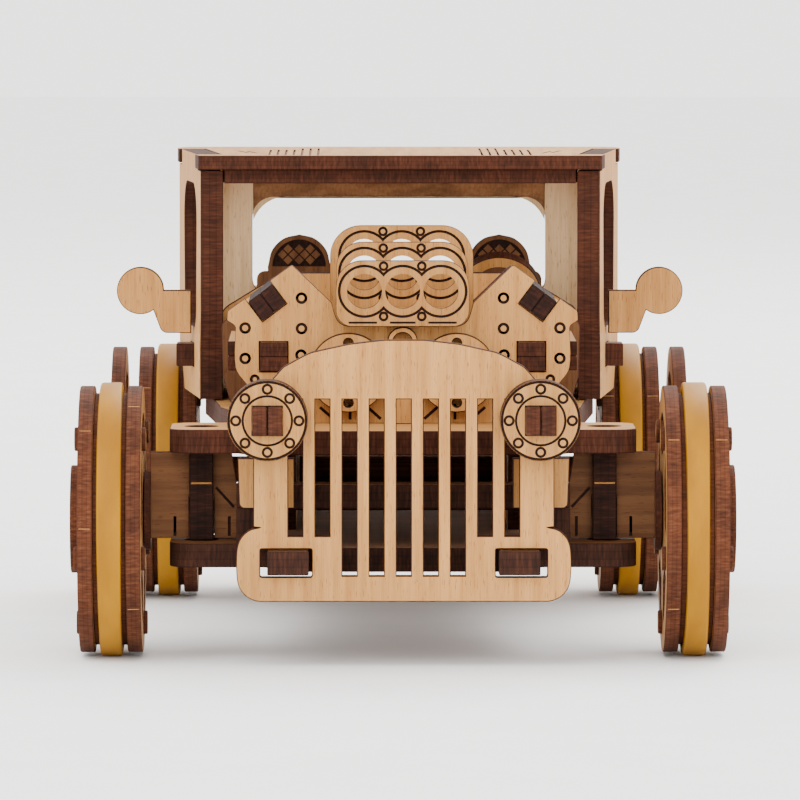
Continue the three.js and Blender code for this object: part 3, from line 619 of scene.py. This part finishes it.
def roof_and_sides():
    low, _ = span("roof")
    lines = []
    for _, sign in SIDES:
        for i in range(7):
            x = sign * (15.2 + LOUVRE_PITCH * i)
            start, end = (1.5, 43) if i < 3 else (3.5, 34)
            lines.append(stroke(x, low.y + start, x, low.y + end, 0.3))
            if i > 3:
                rear = low.y + end + 0.25
                near, far = x - sign * LOUVRE_PITCH * 0.2, x - sign * LOUVRE_PITCH * 0.8
                lines.append(stroke(far, rear, near, rear, 0.3))
        for x, start in ((26.5, 14), (28.3, 17)):
            lines.append(stroke(sign * x, low.y + start, sign * (x + 2), low.y + start + 12, 0.45))
    cut_special("roof", grooves=lines, side="high", materials=(FACE, EDGE, GROOVE_AND_SHADOW_FIELD))
    # the rear panel: a brighter face as painted light, and the roof's painted shadow as a field above its
    # window
    cut_special("rear_panel", grooves=[roof_shadow_band()], side="low", materials=(LIT_FACE, EDGE, GROOVE_AND_SHADOW_FIELD))
    for side, sign in SIDES:
        plate = Plate(f"cab_side_{side}")
        rows = [point.dot(plate.u) for triangle in plate.triangles for point in triangle]
        edge = min(rows) + 3.4
        dashes = [stroke(edge, z, edge, z + 2.1, 0.4) for z in (42.4 + 3.5 * i for i in range(4))]
        outer_face = "high" if sign > 0 else "low"
        cut_special(f"cab_side_{side}", grooves=dashes, side=outer_face, slot="thick_ply")


# ---------------------------------------------------------------- engine
ENGINE_STUDS = ((17.9, 62.7, 0.76), (17.9, 57.3, 0.76), (27.9, 57.4, 0.76), (27.9, 52.0, 0.76),
                (18, 52.6, 0.76), (26.2, 48.3, 0.6))
SCOOP_PITCH = 6.75
LOBE_R = 4.45


def lobes(z, radius):
    """The outline round three touching circles in a row."""
    dip = math.degrees(math.acos(SCOOP_PITCH / 2 / radius))
    right = arc(SCOOP_PITCH, z, radius, dip - 180, 180 - dip, 36)
    crown = arc(0, z, radius, dip, 180 - dip, 16)[1:-1]
    left = arc(-SCOOP_PITCH, z, radius, dip, 360 - dip, 36)
    keel = arc(0, z, radius, 180 + dip, 360 - dip, 16)[1:-1]
    return right + crown + left + keel


def engine():
    rings = [ring(sign * x, z, radius, 0.46) for _, sign in SIDES for x, z, radius in ENGINE_STUDS]
    belts = [stroke(-2.6, 43.5, 2.6, 43.5), stroke(-2.6, 42, 2.6, 42)]
    for _, sign in SIDES:
        belts.append(stroke(sign * 3.9, 41.3, sign * 7.6, 44.6, 0.4))
        belts.append(stroke(sign * 9.3, 41.2, sign * 9.3, 43.9, 0.4))
        belts.append(stroke(sign * 12.2, 41.2, sign * 14.6, 43.3, 0.4))
    cut_special("engine_front_plate", grooves=rings + belts)
    for node, hole_z in (("scoop_front", 64.1), ("scoop_rear", 69.1)):
        low, _ = span(node)
        cut_special(node, grooves=scoop_lines(hole_z, low.z), grain="v")
    scoop_middle()
    for side, sign in SIDES:
        valve_cover(side, sign)


def scoop_lines(hole_z, bottom):
    lines = [(lobes(hole_z, LOBE_R + LINE / 2), lobes(hole_z, LOBE_R - LINE / 2))]
    for x in (-SCOOP_PITCH / 2, SCOOP_PITCH / 2):
        lines.append(ring(x, hole_z + 4.45, 0.62, 0.4))
        lines.append(ring(x, hole_z - 4.45, 0.62, 0.4))
    for start, end in ((-9.5, -4.6), (-2.2, 2.2), (4.6, 9.5)):
        lines.append(stroke(start, bottom + 0.65, end, bottom + 0.65, 0.26))
    return lines


def scoop_middle():
    """The middle plate stands across a base that runs between its neighbours."""
    node = "scoop_middle"
    low, _ = span(node)
    front_low, _ = span("scoop_front")
    plate = Plate(node, Y_AXIS)
    seed = next(seeds)
    bm = bmesh.new()
    start, end = plate.levels[1], plate.levels[2]
    hole_z = low.z + 8.8
    for outer, holes in groups(plate.section((start + end) / 2)):
        outer = faired(outer)
        holes = [faired(hole) for hole in holes]
        engraved_slab(bm, plate, outer, holes, start, end, scoop_lines(hole_z, low.z), "low", "v", seed)
    base_low = front_low.z + 0.1
    for y0, y1 in ((plate.levels[0], start), (end, plate.levels[3])):
        outline = rectangle(-9, y0, 9, y1)
        add_slab(bm, LEVEL, outline, [], base_low, base_low + 2.6, (BEVEL, BEVEL), (0, 0), "h", seed)
    SPECIAL.add(node)
    finish_piece(bm, "scoop_middle_cut", BODY_OF[node], [node])


BANK_TILT = math.radians(36.7)
SPINE_SIZE = (26, 4.25, 2.6)     # along the car, deep, and one ply thick
COVER_SIZE = (12, 37.7, 2.6)


def board(bm, axes, centre, size, seed):
    """A rectangular board: size is along u, v and w."""
    u, v, w = (centre.dot(axis) for axis in (axes.u, axes.v, axes.w))
    outline = rectangle(u - size[0] / 2, v - size[1] / 2, u + size[0] / 2, v + size[1] / 2)
    add_slab(bm, axes, outline, [], w - size[2] / 2, w + size[2] / 2, (BEVEL, BEVEL), (0, 0), "v", seed)


def valve_cover(side, sign):
    """Two plies side by side make the spine; the cover lies along it."""
    node = f"valve_cover_{side}"
    low, high = span(node)
    slope = Vector((-sign * math.cos(BANK_TILT), 0, math.sin(BANK_TILT)))
    outward = Vector((sign * math.sin(BANK_TILT), 0, math.cos(BANK_TILT)))
    bm = bmesh.new()
    seed = next(seeds)
    spine = Vector((sign * 24, low.y + SPINE_SIZE[0] / 2, 61.9))
    for step in (-1, 1):
        centre = spine + slope * step * (SPINE_SIZE[2] / 2 + 0.03)
        board(bm, Axes(Y_AXIS, outward, slope), centre, SPINE_SIZE, seed + step)
    # the spine's faces carry painted shade and its edges are charred
    finish_piece(bm, f"{node}_spine", BODY_OF[node], [], CHARRED_SHADED_WOOD)
    bm = bmesh.new()
    cover = Vector((sign * 23.8, high.y - COVER_SIZE[1] / 2, 62.3))
    cover_size = (COVER_SIZE[0], high.y - low.y - 3.3, COVER_SIZE[2])
    cover.y = high.y - cover_size[1] / 2
    board(bm, Axes(slope, Y_AXIS, outward), cover, cover_size, seed + 9)
    SPECIAL.add(node)
    finish_piece(bm, f"{node}_cut", BODY_OF[node], [node])


# ---------------------------------------------------------------- cab
def quilt(x, low, radius):
    """Diamond quilting on a half-round headrest: a sunk panel with diamonds left standing in it."""
    panel = arc(x, low, radius, 0, 180, 24)
    diamonds = []
    pitch = 2.1
    for row in range(5):
        for column in range(-3, 4):
            u = x + (column + (row % 2) / 2) * pitch
            v = low + 1.15 + row * pitch / 2
            diamond = [Vector((u + a, v + b)) for a, b in ((0.88, 0), (0, 0.88), (-0.88, 0), (0, -0.88))]
            if all(inside(point, inset(panel, 0.25)) for point in diamond):
                diamonds.append(diamond)
    return (panel, *diamonds)


def seats():
    """A seat back with its quilted headrest, and the cushion in front of it."""
    for side, _ in SIDES:
        node = f"seat_{side}"
        low, high = span(node)
        x = (low.x + high.x) / 2
        plate = Plate(node, Y_AXIS)
        seed = next(seeds)
        bm = bmesh.new()
        back = high.y - 2.6
        for outer, holes in groups(plate.section(high.y - 0.5)):
            lines = [quilt(x, high.z - 5.9, 5.0)]
            for u in (x - 4, x, x + 4):
                lines.append(stroke(u, low.z + 3.5, u, low.z + 11.5, 0.4))
            engraved_slab(bm, plate, faired(outer), holes, back, high.y, lines, "low", "v", seed)
        cushion = Plate(node, Z_AXIS)
        for outer, holes in groups(cushion.section(low.z + 1.3)):
            outer = [point for point in faired(outer) if point.y < back + 0.2]
            tufts = [ring(x + step * 4, low.y + 4.2, 0.5, 0.4) for step in (-1, 0, 1)]
            engraved_slab(bm, cushion, outer, [], low.z, low.z + 2.6, tufts, "high", "h", seed)
        SPECIAL.add(node)
        # painted shade on the seats inside the cab
        finish_piece(bm, f"{node}_cut", BODY_OF[node], [node], SHADED_WOOD)


def boot_lid():
    """A living-hinge sheet: its curved faces are sanded wood and its two ends are charred."""
    node = "boot_lid"
    plate = Plate(node, X_AXIS)
    bm = bmesh.new()
    low, high = plate.levels[0], plate.levels[-1]
    for outer, _ in groups(plate.section((low + high) / 2)):
        add_slab(bm, plate, faired(outer), [], low, high, (0, 0), (1, 1), "v", next(seeds), rim=0)
    SPECIAL.add(node)
    finish_piece(bm, "boot_lid_sheet", BODY_OF[node], [node])


# ---------------------------------------------------------------- front axle
KNUCKLE_GAP = 2.25           # half the slot that a kingpin post sits in
LAP_TOP = 28.35
FLANGE_T = 1.2


def knuckle(side, sign):
    """The axle plate across the kingpin post, with a hub flange and the stub that the wheel turns on."""
    node = f"knuckle_{side}"
    low, high = span(node)
    post_low, post_high = span(f"kingpin_post_{side}")
    pin = abs(post_low.x + post_high.x) / 2
    wheel_low, wheel_high = span(f"front_wheel_{side}_inner")
    axle_y, axle_z = (wheel_low.y + wheel_high.y) / 2, (wheel_low.z + wheel_high.z) / 2
    inner = min(abs(low.x), abs(high.x))
    outer = max(abs(low.x), abs(high.x))
    hub = min(abs(wheel_low.x), abs(wheel_high.x)) - 1.4
    foot = high.z - 15.2
    top = high.z
    near, far = pin - KNUCKLE_GAP, pin + KNUCKLE_GAP
    points = [
        (inner + 0.3, foot), (near, foot), (near, LAP_TOP), (far, LAP_TOP), (far, foot),
        (hub + 0.1, foot), (hub + 0.1, top), (inner + 1.3, top), (inner, 27.5),
    ]
    outline = signed(sign, [Vector(point) for point in points])
    slits = [
        stroke(inner + 0.9, 26.3, pin - 2.6, 29.7, 0.36),
        stroke(inner + 1.7, foot + 0.4, inner + 1.7, foot + 3.8, 0.4),
        stroke(pin + 4.7, foot + 0.4, pin + 4.7, foot + 3.8, 0.4),
    ]
    slits = [signed(sign, slit) for slit in slits]
    bm = bmesh.new()
    seed = next(seeds)
    engraved_slab(bm, FACING, outline, [], axle_y - 1.3, axle_y + 1.3, slits, "low", "h", seed)
    ends = sorted((sign * hub, sign * (hub + FLANGE_T)))
    add_slab(bm, SIDEWAYS, circle(axle_y, axle_z + 1.5, 7), [], *ends, (BEVEL, BEVEL), (0, 0), "v", seed)
    ends = sorted((sign * (hub + 0.2), sign * outer))
    stub = circle(axle_y, axle_z, 2.5)
    add_slab(bm, SIDEWAYS, stub, [], *ends, (BEVEL, BEVEL), (0, 0), "v", seed, rim=0)
    SPECIAL.add(node)
    # painted shade on the knuckle behind the wheel
    finish_piece(bm, f"{node}_cut", BODY_OF[node], [node], SHADED_WOOD)


# ---------------------------------------------------------------- wheels
PIN_RING_R = 18.3
PIN_R = 2.1
PIN_PROUD = 0.75
WHEEL_JOINTS = {          # degrees up from the front of the wheel, where the outer ply is pieced together
    "left_inner": (40, 181, 322),
    "left_outer": (40, 118, 243),
    "right_inner": (61, 181, 322),
    "right_outer": (0, 45, 118, 243),
}


def tyre(node):
    """A rubber band stretched over the rim: flat, soft-cornered, and not quite straight."""
    low, high = span(node)
    y, z = (low.y + high.y) / 2, (low.z + high.z) / 2
    middle, half = (low.x + high.x) / 2, (high.x - low.x) / 2
    radius = (high.z - low.z) / 2
    left = [
        (-half, radius - 1.8), (-half, radius - 0.45), (-half + 0.14, radius - 0.15), (-half + 0.5, radius),
    ]
    profile = left + [(-across, reach) for across, reach in reversed(left)]
    steps = 144
    bm = bmesh.new()
    layer = bm.loops.layers.uv.verify()
    rows = []
    for i in range(steps):
        angle = math.tau * i / steps
        squeeze = 1 - 0.05 * (1 + math.sin(2 * angle + middle))
        drift = 0.1 * math.sin(angle * 3 + y)
        row = []
        for across, reach in profile:
            spot = Vector((middle + across * squeeze + drift * (1 - squeeze) * 4, y, z))
            spot += Vector((0, math.cos(angle), math.sin(angle))) * reach
            row.append(bm.verts.new(spot * MM))
        rows.append(row)
    count = len(profile)
    for i in range(steps):
        for j in range(count):
            row, following = rows[i], rows[(i + 1) % steps]
            beside = (j + 1) % count
            face = bm.faces.new((row[j], following[j], following[beside], row[beside]))
            values = ((i, j), (i + 1, j), (i + 1, j + 1), (i, j + 1))
            for corner, (along, across) in zip(face.loops, values):
                corner[layer].uv = (along * 1.05 + middle, across * 1.1)
    finish_piece(bm, f"{node}_band", BODY_OF[node], [node], (RUBBER,))
    SPECIAL.add(node)


def wheel_extras(name, sign):
    """Locking pins through the spokes, and the pale joints across the rims."""
    side = "left" if sign > 0 else "right"
    for part in ("inner", "outer"):
        node = f"{name}_{part}"
        low, high = span(node)
        y, z = (low.y + high.y) / 2, (low.z + high.z) / 2
        plate = Plate(node, X_AXIS)
        levels = plate.levels if sign > 0 else [-level for level in reversed(plate.levels)]
        if part == "inner":
            start, end = levels[0] - PIN_PROUD, levels[0] + 0.3
        else:
            face = levels[-1] if "rear" in name else levels[1]
            start, end = face - 0.3, face + PIN_PROUD
        ends = sorted((sign * start, sign * end))
        seed = next(seeds)
        bm = bmesh.new()
        for i in range(5):
            angle = math.tau * (i + 0.5) / 5 + math.pi / 2
            u, v = y + PIN_RING_R * math.cos(angle), z + PIN_RING_R * math.sin(angle)
            add_slab(bm, SIDEWAYS, circle(u, v, PIN_R), [], *ends, (BEVEL, BEVEL), (0, 0), "v", seed + i)
        finish_piece(bm, f"{node}_pins", BODY_OF[node], [], WHEEL_WOOD)
        bm = bmesh.new()
        disc = (levels[0], levels[1])
        radius = (high.z - low.z) / 2
        for degrees in WHEEL_JOINTS[f"{side}_{part}"]:
            angle = math.pi - math.radians(degrees)
            out = Vector((0, math.cos(angle), math.sin(angle)))
            tangent = Vector((0, -out.z, out.y))
            centre = Vector((sign * (disc[0] + disc[1]) / 2, y, z)) + out * (radius - 0.2)
            board(bm, Axes(X_AXIS, tangent, out), centre, (disc[1] - disc[0] - 0.4, 0.34, 0.5), seed)
        finish_piece(bm, f"{node}_joints", BODY_OF[node], [], (FACE, FACE, FACE))


def wheels():
    for end in ("front", "rear"):
        for side, sign in SIDES:
            name = f"{end}_wheel_{side}"
            tyre(f"{name}_tyre")
            wheel_extras(name, sign)


LAP_LINE_Z = 30.7


def post(side):
    """A kingpin post with charred black edges and faces darkened by painted shade, with the pale joint
    where the crossed plates meet.
    """
    node = f"kingpin_post_{side}"
    cut_special(node, slot="burnt_ply", materials=CHARRED_SHADED_WOOD)
    low, high = span(node)
    bm = bmesh.new()
    board(bm, FACING, Vector(((low.x + high.x) / 2, low.y, LAP_LINE_Z)), (3.6, 0.3, 0.1), next(seeds))
    finish_piece(bm, f"{node}_joint", BODY_OF[node], [], (FACE, FACE, FACE))


THICK_NODES = ("chassis_bottom_plate", "chassis_top_plate", "front_crossmember", "cab_floor")
# pieces whose faces carry painted shade
SHADED_NODES = ("firewall", "cab_floor")
# pieces behind the grille, with painted deep shade on their faces and edges
DEEP_SHADE_NODES = ("front_crossmember", "chassis_bottom_plate")
LEVEL_GRAIN = ("chassis_bottom_plate", "chassis_top_plate", "rear_bumper", "windscreen_header")

headlights()
roof_and_sides()
engine()
seats()
boot_lid()
for side, sign in SIDES:
    knuckle(side, sign)
    post(side)
wheels()
cut_special("rear_axle", across=X_AXIS)
for node in frame["nodes"]:
    if node in SPECIAL:
        continue
    slot = "thick_ply" if node in THICK_NODES else "thin_ply"
    grain = "h" if node in LEVEL_GRAIN else "v"
    finishes = WOOD
    if "_wheel_" in node:
        finishes = WHEEL_WOOD
    # painted shade on pieces that sit in shadow
    elif node in SHADED_NODES:
        finishes = SHADED_WOOD
    elif node in DEEP_SHADE_NODES:
        finishes = DEEP_SHADE_WOOD
    recut(node, slot, grain, materials=finishes)


# ---------------------------------------------------------------- floor, light and camera
def area_light(name, location, target, size, power):
    data = bpy.data.lights.new(name, "AREA")
    data.shape = "SQUARE"
    data.size = size
    data.energy = power
    lamp = bpy.data.objects.new(name, data)
    lamp.location = location
    lamp.rotation_euler = (Vector(target) - Vector(location)).to_track_quat("-Z", "Y").to_euler()
    bpy.context.scene.collection.objects.link(lamp)
    return lamp


def studio():
    bm = bmesh.new()
    layer = bm.loops.layers.uv.verify()
    half = 4.0
    square = ((-half, -half), (half, -half), (half, half), (-half, half))
    corners = [bm.verts.new((x, y, 0)) for x, y in square]
    face = bm.faces.new(corners)
    for corner in face.loops:
        corner[layer].uv = corner.vert.co.xy / MM
    mesh = bpy.data.meshes.new("floor")
    bm.to_mesh(mesh)
    bm.free()
    floor = bpy.data.objects.new("floor", mesh)
    bpy.context.scene.collection.objects.link(floor)
    paper, tree, shader = material("paper", 0.9)
    tone = ramp(tree, streaks(tree, 0.05, 0.05, 4), [(0.3, (0.9, 0.9, 0.9)), (0.7, (0.93, 0.93, 0.93))])
    tree.links.new(tone, shader.inputs["Base Color"])
    mesh.materials.append(paper)
    world = bpy.data.worlds.new("studio")
    world.use_nodes = True
    world.node_tree.nodes["Background"].inputs["Color"].default_value = (1, 0.99, 0.97, 1)
    world.node_tree.nodes["Background"].inputs["Strength"].default_value = 2.7
    bpy.context.scene.world = world
    area_light("key", (-0.35, -0.9, 1.2), (0, 0, 0.04), 0.7, 7)
    area_light("fill", (0.1, -1.3, 0.3), (0, 0, 0.06), 0.9, 7)
    area_light("back", (0.4, 1.0, 1.1), (0, 0.03, 0.05), 0.8, 16)


def camera():
    low, high = (Vector(corner) for corner in cad_bounds)
    centre = (low + high) / 2
    data = bpy.data.cameras.new("view")
    data.lens = 373.2
    data.sensor_width = 36
    data.clip_end = 20
    view = bpy.data.objects.new("view", data)
    view.location = (centre.x - 0.0096, centre.y - 1.52, 0.134)
    target = Vector((centre.x - 0.0005, centre.y - 0.06, 0.0451))
    view.rotation_euler = (target - view.location).to_track_quat("-Z", "Y").to_euler()
    bpy.context.scene.collection.objects.link(view)
    bpy.context.scene.camera = view


studio()
camera()
